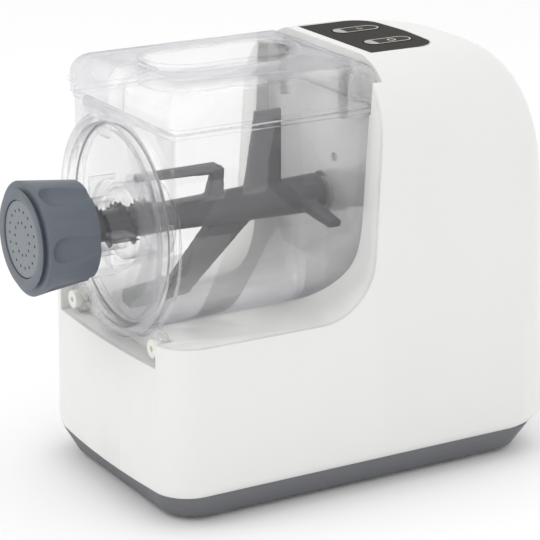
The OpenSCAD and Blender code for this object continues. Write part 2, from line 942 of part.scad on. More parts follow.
module output_gear() {
    color("ivory")
    difference() {
        union() {
            gear(output_teeth, module_2, 0.8, 270 + 180 / output_teeth,
                output_y + 0.5, output_w - 1, shaft_z);
            y_cylinder(9, output_y + output_w - 1, idler_w);
        }
        y_cylinder(drive_r, output_y - 5, 40);
        // lightening recess on the rear face
        difference() {
            y_cylinder(output_teeth * module_2 / 2 - 5, output_y + output_w - 4, 20);
            y_cylinder(9, output_y, 60);
        }
    }
}

drive_tip_y = vessel_rear_y - 18;
drive_end_y = cover_y + cover_t + 3;
module drive_shaft() {
    color("silver")
    difference() {
        y_cylinder(drive_r, drive_tip_y, drive_end_y - drive_tip_y);
        difference() {
            y_cylinder(drive_r + 5, drive_tip_y - 1, vessel_rear_y + collar_l - drive_tip_y + 1);
            y_extrude(drive_tip_y - 2, 60)
                translate([0, shaft_z])
                    circle(d = drive_hex / cos(30), $fn = 6);
        }
    }
}

module idler_gear() {
    color("ivory")
    difference() {
        union() {
            gear(idler_teeth, module_1, 0.7, 270 + 180 / idler_teeth, idler_y, idler_w - 0.5, idler_z);
            gear(pinion_teeth, module_2, 1, 90, output_y, output_w + 2, idler_z);
        }
        y_cylinder(axle_r + run_gap, output_y - 5, 60, 0, idler_z);
    }
}

// ---------------------------------------------------------------- motor

motor_y = cover_y + cover_t;
cap_l = 5;
module motor_can() {
    color("silver")
    difference() {
        y_cylinder(motor_r, motor_y, motor_l, 0, motor_z);
        y_cylinder(motor_r - 2, motor_y + 2.5, motor_l, 0, motor_z);
        y_cylinder(motor_shaft_r + run_gap, motor_y - 1, 20, 0, motor_z);
        for (a = motor_screw_as)
            y_cylinder(screw_r, motor_y - 1, 10, motor_screw_r * cos(a), motor_z + motor_screw_r * sin(a));
    }
    // boss that centres the motor in the gearbox cover
    color("silver")
    y_tube(motor_boss_r, motor_shaft_r + run_gap, motor_y - cover_t + 0.5, cover_t - 0.5, 0, motor_z);
}

module motor_magnets() {
    color("dimgray")
    difference() {
        y_tube(motor_r - 2, motor_r - 7, motor_y + 12, armature_l + 4, 0, motor_z);
        for (a = [0, 90])
            translate([0, 0, motor_z])
                rotate([0, a, 0])
                    translate([-3, motor_y, -60])
                        cube([6, 90, 120]);
    }
}

module motor_end_cap() {
    color("dimgray")
    difference() {
        y_cylinder(motor_r, motor_y + motor_l, cap_l, 0, motor_z);
        y_cylinder(motor_shaft_r + run_gap, motor_y, 200, 0, motor_z);
        for (a = [30:60:330])
            y_cylinder(vent_r, motor_y, 200, vent_ring_r * cos(a), motor_z + vent_ring_r * sin(a));
    }
}

module motor_screws() {
    color("silver")
    for (a = motor_screw_as)
        translate([motor_screw_r * cos(a), cover_y, motor_z + motor_screw_r * sin(a)])
            rotate([90, 0, 0])
                screw(screw_r, cover_t + 2.5, 2.4, 1.5);
}

pinion_y = idler_y;
module motor_shaft() {
    color("lightgray")
    y_cylinder(motor_shaft_r, pinion_y - 2, motor_y + motor_l + cap_l + 16 - pinion_y + 2, 0, motor_z);
}

armature_l = motor_l - 28;
module motor_armature() {
    color("peru")
    difference() {
        union() {
            y_cylinder(motor_r - 9, motor_y + 14, armature_l, 0, motor_z);
            y_cylinder(9, motor_y + 14 + armature_l - eps, 10, 0, motor_z);
        }
        y_cylinder(motor_shaft_r, motor_y, 200, 0, motor_z);
        for (a = [0:36:324])
            translate([0, 0, motor_z])
                rotate([0, a, 0])
                    translate([-1.5, motor_y, motor_r - 14])
                        cube([3, 13 + armature_l, 20]);
    }
}

module motor_pinion() {
    color("goldenrod")
    difference() {
        gear(motor_teeth, module_1, 1, 90, pinion_y - 0.5, idler_w + 0.5, motor_z);
        y_cylinder(motor_shaft_r, pinion_y - 5, 40, 0, motor_z);
    }
}

module cooling_fan() {
    fan_y = motor_y + motor_l + cap_l + 3;
    color("black")
    difference() {
        union() {
            y_cylinder(8, fan_y, 10, 0, motor_z);
            for (a = [0:45:315])
                translate([0, fan_y, motor_z])
                    rotate([0, a, 0])
                        translate([6, 1, -1])
                            rotate([25, 0, 0])
                                cube([motor_r - 8, 7, 1.6]);
        }
        y_cylinder(motor_shaft_r, fan_y - 5, 40, 0, motor_z);
    }
}

// ---------------------------------------------------------------- electronics and inlet

board_w = 110;
board_l = 80;
board_y = front_y + 45;
board_z = 22;
module power_pcb() {
    color("darkgreen")
    difference() {
        translate([-board_w / 2, board_y, board_z])
            cube([board_w, board_l, pcb_t]);
        board_holes()
            cylinder(r = 1.3, h = 20, center = true, $fn = 20);
    }
}

module board_holes() {
    for (x = [-1, 1])
        for (y = [0, 1])
            translate([x * (board_w / 2 - 5), board_y + 5 + y * (board_l - 10), board_z])
                children();
}

module pcb_components() {
    z = board_z + pcb_t;
    color("steelblue") {
        translate([-40, board_y + 14, z])
            cube([28, 24, 22]);
        translate([0, board_y + 16, z])
            cube([20, 14, 12]);
        for (x = [-30, -14])
            translate([x, board_y + 58, z])
                cylinder(r = 7, h = 24, $fn = 32);
        translate([10, board_y + 50, z])
            cube([14, 5, 26]);
        translate([36, board_y + 40, z])
            cube([10, 26, 12]);
    }
}

module pcb_screws() {
    color("silver")
    board_holes()
        translate([0, 0, pcb_t])
            screw(1, 12, 2.2, 1.4);
}

gland_wall_y = rear_y - wall;
module cord_gland() {
    color("black")
    difference() {
        union() {
            y_cylinder(gland_r, rear_y - gland_l, gland_l - 0.2, gland_x, gland_z);
            y_cylinder(gland_r + 2.5, gland_wall_y - 2.5, 2.5, gland_x, gland_z);
        }
        y_cylinder(gland_bore_r, rear_y - 60, 80, gland_x, gland_z);
    }
}

// Switch that senses the closed vessel, on the back of the gearbox case's window.
switch_y = deck_back_y + 3.4;
module safety_switch() {
    color("darkred")
    translate([sensor_x - 6, switch_y, sensor_z - 4])
        cube([12, 7.5, 8]);
    // strap to the tower's rear face
    color("darkred")
    translate([sensor_x - 6, deck_back_y, sensor_z + 5])
        cube([12, switch_y + 7.5 - deck_back_y, 2]);
    color("darkred")
    translate([sensor_x - 6, switch_y, sensor_z + 4 - eps])
        cube([12, 7.5, 1 + 2 * eps]);
}

module sensor_plunger() {
    color("dimgray") {
        y_cylinder(sensor_r, recess_y - 0.1, wall + 0.6, sensor_x, sensor_z);
        y_cylinder(sensor_r + 1.2, deck_back_y + seat_gap, 1, sensor_x, sensor_z);
    }
}

// ---------------------------------------------------------------- mixing vessel

groove_r = ring_in_r + 3;
lug_arc = 24;
lug_t = 3;
lug_y = ring_front_y + 3.5;
ring_l = vessel_front_y - ring_front_y + 3;
hinge_r = 6;
lid_rear_y = vessel_rear_y - lid_rear_gap;
hinge_y = lid_rear_y - hinge_r;
hinge_z = lid_top_z - hinge_r;
hinge_x = 38;
ear_w = 5;
ear_slack = 0.5;

// Rim outline in plan, grown by g.
module rim_outline(g) {
    y0 = vessel_front_y - 3;
    round_rect(2 * (vessel_r + rim_out + g), vessel_rear_y - y0 - 0.2 + g, y0 - g, 8);
}

module mixing_vessel() {
    color("aliceblue", 0.4)
    difference() {
        union() {
            intersection() {
                y_extrude(vessel_front_y, vessel_rear_y - vessel_front_y)
                    vessel_section(0);
                x_extrude(2 * vessel_r + 10)
                    vessel_side(0, vessel_front_y);
            }
            // front ring with its flange
            y_cylinder(ring_r, ring_front_y, ring_l);
            // rim flange
            translate([0, 0, rim_z])
                linear_extrude(rim_t)
                    rim_outline(0);
            // ears for the bushings
            for (sx = [-1, 1]) {
                y_cylinder(9.3, ring_front_y + 4, 5, sx * bushing_x, bushing_z);
                translate([sx * bushing_x, ring_front_y + 4, bushing_z])
                    rotate([0, sx * -40.3, 0])
                        translate([-5, 0, 0])
                            cube([10, 5, 16]);
            }
            // rear collar
            y_cylinder(collar_r, vessel_rear_y - eps, collar_l + eps);
            // hinge ears
            for (sx = [-1, 1])
                hinge_ear(sx * hinge_x);
        }
        // inside
        difference() {
            intersection() {
                y_extrude(vessel_front_y + vessel_t, vessel_rear_y - vessel_front_y - 2 * vessel_t)
                    vessel_section(-vessel_t, rim_top_z + 10);
                x_extrude(2 * vessel_r)
                    vessel_side(-vessel_t, vessel_front_y, rim_top_z + 10);
            }
            for (sx = [-1, 1])
                hinge_ear(sx * hinge_x);
        }
        // seat and opening for the front plate
        y_cylinder(ring_in_r, ring_front_y - 1, 1 + 8);
        y_cylinder(ring_in_r - 3, ring_front_y, ring_l + vessel_t);
        // groove for the lugs, and the slots that let them in
        y_cylinder(groove_r + plate_gap, lug_y - 0.3, lug_t + 0.6);
        for (a = [90, 210, 330])
            lug_sector(a + plate_twist, ring_front_y - 1, 10,
                ring_in_r - 1, groove_r + plate_gap, lug_arc + 3);
        for (sx = [-1, 1])
            translate([sx * hinge_x - 10, hinge_y, hinge_z])
                rotate([0, 90, 0])
                    cylinder(r = hinge_pin_r + eps, h = 20, $fn = 48);
        // bore for the rear bush
        y_cylinder(journal_r + 2.5, vessel_rear_y - 40, 60);
        for (sx = [-1, 1])
            y_cylinder(3.5, ring_front_y, 20, sx * bushing_x, bushing_z);
    }
}
bushing_x = 56;
bushing_z = front_ledge_z + 9.6;

collar_r = journal_r + 6;
collar_l = 6;

module hinge_ear(x) {
    // foot that ties the ear to the vessel's rear wall
    translate([x - ear_w / 2, hinge_y - 3, rim_z - 10])
        cube([ear_w, vessel_rear_y - 1 - hinge_y + 3, 10 + rim_t]);
    translate([x - ear_w / 2, hinge_y - 3, rim_z])
        cube([ear_w, 6, hinge_z - rim_z]);
    translate([x - ear_w / 2, hinge_y, hinge_z])
        rotate([0, 90, 0])
            cylinder(r = 3, h = ear_w, $fn = 48);
}

// Sector of a ring round the shaft's axis, centred on angle a in the XZ plane.
module lug_sector(a, y0, l, r_in, r_out, arc) {
    intersection() {
        y_tube(r_out, r_in, y0, l);
        translate([0, y0 + l, shaft_z])
            rotate([90, 0, 0])
                linear_extrude(l)
                    polygon([[0, 0],
                        [100 * cos(a - arc / 2), 100 * sin(a - arc / 2)],
                        [110 * cos(a), 110 * sin(a)],
                        [100 * cos(a + arc / 2), 100 * sin(a + arc / 2)]]);
    }
}

bush_y = vessel_rear_y - vessel_t;
module shaft_bush() {
    color("white")
    y_tube(journal_r + 2.5, journal_r + run_gap, bush_y + 3, vessel_t + collar_l - 3.2);
}

module shaft_seal() {
    color("gray")
    y_tube(journal_r + 2.5, journal_r + run_gap, bush_y, 3);
}

module bushing(x) {
    color("white")
    difference() {
        union() {
            y_cylinder(3.5, ring_front_y + 4, 5, x, bushing_z);
            y_cylinder(6, ring_front_y - 1, 5, x, bushing_z);
        }
        y_cylinder(1.8, ring_front_y - 2, 7, x, bushing_z);
    }
}
module bushing_left() { bushing(-bushing_x); }
module bushing_right() { bushing(bushing_x); }

knuckle_w = 4;
module hinge_pins() {
    color("silver")
    for (sx = [-1, 1])
        translate([sx * hinge_x - ear_w / 2 - knuckle_w - ear_slack, hinge_y, hinge_z])
            rotate([0, 90, 0])
                cylinder(r = hinge_pin_r, h = ear_w + 2 * (knuckle_w + ear_slack), $fn = 48);
}

// ---------------------------------------------------------------- mixing shaft

shaft_front_y = nut_face_y + die_t + 4;
screw_end_y = vessel_front_y + barrel_l - 6;
journal_y = bush_y - 1;
flight_r = barrel_r - screw_gap;

// Flat arm from the hub: a plate of width w along Y and thickness t, turned by angle a from +Z.
module arm(y0, w, t, reach, a) {
    translate([0, 0, shaft_z])
        rotate([0, a, 0])
            translate([-t / 2, y0, 0])
                cube([t, w, reach]);
}

// Outer end of such an arm, from radius r0 to r1.
module arm_end(y0, w, t, r0, r1, a) {
    translate([0, 0, shaft_z])
        rotate([0, a, 0])
            translate([-t / 2, y0, r0])
                cube([t, w, r1 - r0]);
}

module mixing_shaft() {
    color("dimgray")
    difference() {
        union() {
            // core of the feed screw, hub and journal
            y_cylinder(screw_core_r, shaft_front_y, screw_end_y - shaft_front_y + eps);
            y_cylinder(hub_rear_r, screw_end_y, journal_y - screw_end_y, 0, shaft_z, hub_front_r);
            y_cylinder(journal_r, journal_y - eps, vessel_rear_y + collar_l - journal_y - 0.5);
            feed_screw();
            // hoop: up from the hub, then forward past the tube
            hull() {
                arm(hoop_y - 2, 12, 8, 8, hoop_angle);
                arm(hoop_y, 8, 6, hoop_reach - 3, hoop_angle);
            }
            hull() {
                arm_end(hoop_y, 6, 6, hoop_reach - 7, hoop_reach - 3, hoop_angle);
                arm_end(hoop_y - 4, 6, 6, hoop_reach - 5, hoop_reach, hoop_angle);
                arm_end(hoop_y - hoop_l, 6, 5, hoop_reach - 5, hoop_reach, hoop_angle);
            }
            // long flat blade
            hull() {
                arm(blade_y - 3, 24, 9, 8, 0);
                arm(blade_y + 4, 19, 4, blade_reach, 0);
            }
            // rear paddle
            hull() {
                arm(paddle_y, 12, 7, 8, paddle_angle);
                arm_end(paddle_y + 6, 9, 5, 38, 43, paddle_angle);
            }
            // lower arm, carried forward to a wide scraper
            hull() {
                arm(blade_y - 22, 24, 10, 8, scraper_angle);
                arm_end(scraper_y + 32, 14, 8, 46, 56, scraper_angle);
            }
            hull() {
                arm_end(scraper_y + 32, 14, 8, 46, 58, scraper_angle);
                arm_end(scraper_y, 12, 13, 52, 61, scraper_angle);
            }
        }
        // socket for the drive shaft's hexagon
        y_extrude(drive_tip_y - 1, 60)
            translate([0, shaft_z])
                circle(d = (drive_hex + 2 * hex_gap) / cos(30), $fn = 6);
    }
}
hoop_y = front_y + 77;
hoop_l = 56;
hoop_reach = 34;
hoop_angle = 14;
blade_y = front_y + 109;
paddle_y = front_y + 139;
paddle_angle = 104;
scraper_y = front_y + 23;
scraper_angle = 191;

// Helical flight of the feed screw.
module feed_screw() {
    l = screw_end_y - shaft_front_y - 4;
    turns = l / screw_pitch;
    translate([0, shaft_front_y + 2 + l, shaft_z])
        rotate([90, 0, 0])
            linear_extrude(l, twist = -360 * turns, slices = ceil(turns * 16))
                translate([screw_core_r - 1, -2.2])
                    square([flight_r - screw_core_r + 1, 4.4]);
}

// ---------------------------------------------------------------- lid

lid_y = vessel_front_y - 3;
lid_low_z = rim_top_z + seat_gap;
lid_half_w = vessel_r;

// The lid's solid form, drawn in by d: an arch section met by a rounded side profile.
module lid_form(d) {
    intersection() {
        y_extrude(lid_y + d, lid_rear_y - lid_y - 2 * d)
            lid_section(d);
        x_extrude(2 * lid_half_w + 20)
            lid_side(d);
        // nothing of the lid reaches below the face that rests on the rim
        translate([-lid_half_w, lid_y, lid_low_z - (d > 0 ? 10 : 0)])
            cube([2 * lid_half_w, lid_rear_y - lid_y, 60]);
    }
}
module lid_section(d) {
    r = lid_edge_r - d;
    w = lid_half_w - d;
    z0 = lid_low_z - (d > 0 ? 10 : 0);
    translate([-w, z0])
        square([2 * w, lid_top_z - d - r - z0]);
    translate([-w + r, z0])
        square([2 * (w - r), lid_top_z - d - z0]);
    for (sx = [-1, 1])
        translate([sx * (w - r), lid_top_z - d - r])
            circle(r = r, $fn = 64);
}
module lid_side(d) {
    rf = lid_front_r - d;
    rr = hinge_r - d;
    y0 = lid_y + d;
    y1 = lid_rear_y - d;
    z0 = lid_low_z - 12;
    z1 = lid_top_z - d;
    translate([y0 + rf, z0])
        square([y1 - y0 - rf - rr, z1 - z0]);
    translate([y0, z0])
        square([y1 - y0, z1 - z0 - max(rf, rr)]);
    translate([y1 - rr - 1, z0])
        square([rr + 1, z1 - z0 - rr]);
    translate([y0 + rf, z1 - rf])
        circle(r = rf, $fn = 64);
    translate([y1 - rr, z1 - rr])
        circle(r = rr, $fn = 64);
}

fill_y = front_y + 40.5;
module fill_outline(g) {
    translate([fill_x, 0])
        round_rect(fill_w + 2 * g, fill_l + 2 * g, fill_y - g, fill_w / 2 - 1 + g);
}

// Front lip that a finger lifts, an arc in plan.
module lip_outline() {
    lip_r = 66;
    intersection() {
        translate([0, lid_y - lip_reach + lip_r])
            circle(r = lip_r, $fn = 128);
        translate([-50, lid_y - 60])
            square([100, 60 + 2]);
    }
}

module lid() {
    color("aliceblue", 0.4)
    difference() {
        union() {
            difference() {
                lid_form(0);
                lid_form(lid_t);
            }
            // flange that rests on the vessel's rim
            translate([0, 0, lid_low_z])
                linear_extrude(3)
                    difference() {
                        rim_outline(-0.2);
                        round_rect(2 * (lid_half_w - lid_t), lid_rear_y - lid_y - 2 * lid_t,
                            lid_y + lid_t, 5);
                    }
            // collar under the filling opening
            translate([0, 0, lid_top_z - fill_collar_h])
                linear_extrude(fill_collar_h + fill_rim_h)
                    fill_outline(lid_t);
            // lip and hook at the front
            translate([0, 0, lid_low_z])
                linear_extrude(3)
                    lip_outline();
            translate([-hook_w / 2, ring_front_y - 4, rim_z - 11])
                cube([hook_w, 3.4, lid_low_z - rim_z + 11 + eps]);
            hook_rib();
            // knuckles round the hinge pins
            for (sx = [-1, 1])
                for (side = [-1, 1])
                    knuckle(sx * hinge_x + side * (ear_w / 2 + ear_slack + knuckle_w / 2));
        }
        translate([0, 0, lid_top_z - fill_collar_h - 1])
            linear_extrude(fill_collar_h + 10)
                fill_outline(0);
        // slots for the hinge ears
        for (sx = [-1, 1])
            translate([sx * hinge_x - ear_w / 2 - ear_slack, hinge_y - 3.6, lid_low_z - 1])
                cube([ear_w + 2 * ear_slack, 20, hinge_z - lid_low_z + 1 + 3.4]);
        // lower rear edge, rounded off so that it swings clear of the rim
        x_extrude(2 * vessel_r + 20)
            difference() {
                translate([hinge_y, lid_low_z - 1])
                    square([20, 14]);
                translate([hinge_y, hinge_z])
                    circle(r = hinge_z - lid_low_z, $fn = 96);
            }
        for (sx = [-1, 1])
            translate([sx * hinge_x - 20, hinge_y, hinge_z])
                rotate([0, 90, 0])
                    cylinder(r = hinge_pin_r + run_gap, h = 40, $fn = 48);
        lid_pin_form(lid_pin_r + eps);
    }
}
hook_w = 13;

// Round pin through the lid's left wall near its front.
module lid_pin_form(r) {
    translate([-lid_half_w - lid_pin_out, lid_y + 4.5, lid_low_z + 5.7])
        rotate([0, 90, 0])
            cylinder(r = r, h = lid_pin_out + lid_t, $fn = 48);
}
module lid_pin() { color("aliceblue", 0.4) lid_pin_form(lid_pin_r); }

// Raised U-shaped rib that runs over the lid's front edge above the hook.
module hook_rib() {
    intersection() {
        difference() {
            x_extrude(2 * hook_w)
                difference() {
                    lid_side(-1.4);
                    lid_side(1);
                }
            translate([-hook_w + 3, lid_y - 5, lid_low_z - 20])
                cube([2 * (hook_w - 3), 24, 80]);
        }
        translate([-hook_w, lid_y - 5, lid_low_z])
            cube([2 * hook_w, 27, 60]);
    }
}

module knuckle(x) {
    translate([x - knuckle_w / 2, hinge_y, hinge_z])
        rotate([0, 90, 0])
            cylinder(r = 4, h = knuckle_w, $fn = 48);
    translate([x - knuckle_w / 2, hinge_y - 4, hinge_z])
        cube([knuckle_w, 8, hinge_r - lid_t + 0.5]);
}

// ---------------------------------------------------------------- front plate

plate_y = ring_front_y + 8 - seat_gap - plate_t;
neck_front_y = nut_face_y + die_t + 0.8 + seat_gap;
neck_seat_y = nut_back_y + 1;
thread_r = 28;
module front_plate() {
    color("aliceblue", 0.4)
    difference() {
        union() {
            // disc with a raised rim
            y_cylinder(ring_in_r - plate_gap, plate_y, plate_t);
            y_tube(ring_in_r - plate_gap, ring_in_r - plate_gap - 4,
                ring_front_y + 1, plate_y - ring_front_y);
            for (a = [90, 210, 330])
                lug_sector(a, lug_y, lug_t, ring_in_r - 4, groove_r, lug_arc);
            // barrel with a collar, and four ribs that stiffen it
            y_cylinder(barrel_r + 3, neck_front_y, plate_y - neck_front_y + eps);
            y_cylinder(neck_r + 3, plate_y - 3.5, 3.5 + eps);
            for (a = [0, 90, 180, 270])
                translate([0, 0, shaft_z])
                    rotate([0, a, 0])
                        translate([-1.5, nut_back_y + 8, barrel_r])
                            cube([3, plate_y - nut_back_y - 8 + eps, neck_r + neck_rib_h - barrel_r]);
            // drum that carries the thread
            y_cylinder(thread_r - seat_gap, neck_front_y, neck_seat_y - neck_front_y);
            // wide tube behind the plate
            y_cylinder(neck_r, plate_y + plate_t - eps, barrel_l);
        }
        y_cylinder(barrel_r, neck_front_y - 1, plate_y + plate_t - neck_front_y + 2);
        y_cylinder(neck_r - 3, plate_y + plate_t, barrel_l + 1);
        // hollow between drum and barrel, open to the rear
        y_tube(thread_r - seat_gap - 3.5, barrel_r + 3, neck_front_y + 5, neck_seat_y - neck_front_y);
    }
}

module plate_gasket() {
    color("gainsboro")
    y_tube(ring_in_r - 0.5, ring_in_r - 2.7, plate_y + plate_t, 0.25);
}

// ---------------------------------------------------------------- nut and die

module clamping_nut() {
    color("slategray")
    difference() {
        union() {
            y_cylinder(nut_rear_r, nut_face_y + 3, nut_l - 3, 0, shaft_z, nut_front_r + 1.2);
            y_cylinder(nut_front_r + 1.2, nut_face_y, 3 + eps, 0, shaft_z, nut_front_r - 1.2);
        }
        // opening that shows the die, and the cavity behind it
        y_cylinder(die_r + 0.6, nut_face_y - 1, 60);
        y_cylinder(thread_r + seat_gap, nut_face_y + lip_t, 60);
        // scallops for the fingers, round at the front and open at the back
        for (a = [30:60:330])
            translate([0, nut_face_y + flute_start, shaft_z])
                rotate([0, a, 0])
                    translate([0, 0, flute_floor_r + flute_r])
                        rotate([-90, 0, 0]) {
                            cylinder(r = flute_r, h = 60, $fn = 48);
                            sphere(r = flute_r, $fn = 48);
                        }
    }
}
lip_t = 2.6;

module die_disc() {
    color("gray")
    difference() {
        union() {
            y_cylinder(die_r, nut_face_y + 0.8, die_t);
            y_cylinder(thread_r - seat_gap, nut_face_y + lip_t + 0.3, die_t + 0.8 - lip_t - 0.3);
        }
        for (k = [0:die_outer_holes - 1])
            die_hole(die_outer_r, k * 360 / die_outer_holes);
        for (k = [0:die_inner_holes - 1])
            die_hole(die_inner_r, k * 360 / die_inner_holes);
    }
}
module die_hole(r, a) {
    y_cylinder(die_hole_r, nut_face_y - 1, 20, r * cos(a), shaft_z + r * sin(a));
}

housing_shell();
housing_front();
vessel_deck();
deck_back();
base_tray();
foot_front_left();
foot_front_right();
foot_rear_left();
foot_rear_right();
tray_screws();
panel_trim();
control_panel();
start_lens();
power_lens();
start_button();
power_button();
control_pcb();
tact_switches();
gearbox_case();
gearbox_cover();
gearbox_screws();
idler_axle();
drive_bush_front();
drive_bush_rear();
output_gear();
drive_shaft();
idler_gear();
motor_can();
motor_magnets();
motor_end_cap();
motor_screws();
motor_shaft();
motor_armature();
motor_pinion();
cooling_fan();
power_pcb();
pcb_components();
pcb_screws();
cord_gland();
safety_switch();
sensor_plunger();
mixing_vessel();
shaft_bush();
shaft_seal();
bushing_left();
bushing_right();
hinge_pins();
mixing_shaft();
lid();
lid_pin();
front_plate();
plate_gasket();
clamping_nut();
die_disc();
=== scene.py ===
"""Electric pasta maker: finishes, softened mouldings and small details over the fixed frame."""
import logging
import math
from dataclasses import dataclass
from enum import Enum

import bpy
from mathutils import Matrix, Vector


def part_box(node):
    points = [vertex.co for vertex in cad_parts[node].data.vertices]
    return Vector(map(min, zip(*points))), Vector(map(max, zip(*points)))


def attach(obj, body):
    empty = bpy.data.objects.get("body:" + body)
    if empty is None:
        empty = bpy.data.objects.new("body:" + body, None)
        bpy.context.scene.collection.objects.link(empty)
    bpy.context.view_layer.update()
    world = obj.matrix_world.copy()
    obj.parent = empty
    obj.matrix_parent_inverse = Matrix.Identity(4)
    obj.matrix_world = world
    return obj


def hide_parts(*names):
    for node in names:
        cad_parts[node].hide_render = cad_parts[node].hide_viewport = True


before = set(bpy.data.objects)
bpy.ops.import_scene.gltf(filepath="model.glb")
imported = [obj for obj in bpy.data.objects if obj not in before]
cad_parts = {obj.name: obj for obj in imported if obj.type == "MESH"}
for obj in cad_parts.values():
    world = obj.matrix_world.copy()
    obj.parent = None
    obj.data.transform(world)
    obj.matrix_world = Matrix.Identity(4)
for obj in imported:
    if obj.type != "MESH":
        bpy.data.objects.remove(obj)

log = logging.getLogger("pasta_maker")
MM = 0.001
# Vertices nearer than this are one, which takes in the thin lip that a divided moulding has.
MERGE_MM = 0.02
# Neighbouring faces that turn less than this become one.
FLAT_DEG = 0.4
# Least turn that counts as an edge, and is shaded as one.
EDGE_DEG = 30
# Steps across a rounded edge.
EDGE_STEPS = 2
# Share of a fine relief's height that shows, and the same for the slow waves of a clear wall.
RELIEF_SHARE = 0.6
FLOW_SHARE = 0.25
# Height of those waves.
FLOW_DEPTH_MM = 0.04
# Cycles per metre of the slow drift in a material's tone.
DRIFT_SCALE = 22.0
# Where that drift is darkest and lightest, as shares of its noise.
DRIFT_SPAN = (0.35, 0.65)
# Cycles along a drawn mark, and along a ring left by a tool, as shares of those across it.
DRAWN_STRETCH = 0.05
TURNED_STRETCH = 0.1
# Roughness of the thin clear gloss over a polished surface.
COAT_ROUGHNESS = 0.05
# How far gloss swings about its mean with the grain.
GLOSS_SWING = 0.12
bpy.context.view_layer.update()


def linear(code: str) -> tuple[float, float, float, float]:
    """Turns an sRGB hex colour to linear light.

    Args:
        code: Six hex digits.

    Returns:
        Red, green, blue and alpha in linear light.
    """
    parts = [int(code[k:k + 2], 16) / 255 for k in (0, 2, 4)]
    lit = [c / 12.92 if c <= 0.04045 else ((c + 0.055) / 1.055) ** 2.4 for c in parts]
    return (lit[0], lit[1], lit[2], 1.0)


def add_node(tree: bpy.types.NodeTree, kind: str, settings: dict | None = None,
             links: dict | None = None) -> bpy.types.Node:
    """Adds one node with its settings and incoming links.

    Args:
        tree: Node tree that takes the node.
        kind: Type name of the node.
        settings: Attribute values, or socket values where the name is an input's.
        links: Input name to the output socket that feeds it.

    Returns:
        The new node.
    """
    node = tree.nodes.new(kind)
    for key, value in (settings or {}).items():
        if key in node.inputs:
            node.inputs[key].default_value = value
        else:
            setattr(node, key, value)
    for key, source in (links or {}).items():
        tree.links.new(source, node.inputs[key])
    return node


class Grain(Enum):
    """How a surface was made, which sets its fine relief."""

    MOULD_POLISH = "mould polish"
    SPARK_ERODED = "spark eroded"
    BRUSHED = "brushed"
    CAST = "cast"
    TURNED = "turned"
    SOLDER_MASK = "solder mask"


@dataclass(frozen=True)
class Finish:
    """An opaque finish: what the material is, its colour, gloss and fine relief."""

    name: str
    colour: str
    roughness: float
    grain: Grain
    grain_mm: float = 1.0
    depth_mm: float = 0.01
    metallic: float = 0.0
    ior: float = 1.5
    variation: float = 0.03
    coat: float = 0.0
    specular: float = 0.5

    def scale(self) -> tuple[float, float, float]:
        """Gives the pattern's stretch along each axis, in cycles per metre."""
        f = 1 / (self.grain_mm * MM)
        if self.grain is Grain.BRUSHED:
            return (f * DRAWN_STRETCH, f * DRAWN_STRETCH, f)
        if self.grain is Grain.TURNED:
            return (f * TURNED_STRETCH, f, f * TURNED_STRETCH)
        return (f, f, f)

    def build(self) -> bpy.types.Material:
        """Makes the material.

        Returns:
            The material, with its relief and slight variation in object space.
        """
        mat = bpy.data.materials.new(self.name)
        mat.use_nodes = True
        tree = mat.node_tree
        shader = tree.nodes["Principled BSDF"]
        shader.inputs["Metallic"].default_value = self.metallic
        if self.metallic == 0:
            shader.inputs["IOR"].default_value = self.ior
        shader.inputs["Specular IOR Level"].default_value = self.specular
        shader.inputs["Coat Weight"].default_value = self.coat
        shader.inputs["Coat Roughness"].default_value = COAT_ROUGHNESS
        place = add_node(tree, "ShaderNodeTexCoord")
        stretch = add_node(tree, "ShaderNodeMapping", {"Scale": self.scale()},
                           {"Vector": place.outputs["Object"]})
        fine = add_node(tree, "ShaderNodeTexNoise", {"Scale": 1.0, "Detail": 3.0},
                        {"Vector": stretch.outputs["Vector"]})
        broad = add_node(tree, "ShaderNodeTexNoise", {"Scale": DRIFT_SCALE, "Detail": 2.0},
                         {"Vector": place.outputs["Object"]})
        base = linear(self.colour)
        low = tuple(c * (1 - self.variation) for c in base[:3]) + (1.0,)
        tone = add_node(tree, "ShaderNodeValToRGB", links={"Fac": broad.outputs["Fac"]})
        for stop, place_at, shade in zip(tone.color_ramp.elements, DRIFT_SPAN, (low, base)):
            stop.position = place_at
            stop.color = shade
        tree.links.new(tone.outputs["Color"], shader.inputs["Base Color"])
        gloss = add_node(tree, "ShaderNodeMapRange", {
            "To Min": self.roughness * (1 - GLOSS_SWING),
            "To Max": min(1.0, self.roughness * (1 + GLOSS_SWING))},
            {"Value": fine.outputs["Fac"]})
        tree.links.new(gloss.outputs["Result"], shader.inputs["Roughness"])
        relief = add_node(tree, "ShaderNodeBump", {
            "Strength": RELIEF_SHARE, "Distance": self.depth_mm * MM}, {"Height": fine.outputs["Fac"]})
        tree.links.new(relief.outputs["Normal"], shader.inputs["Normal"])
        return mat


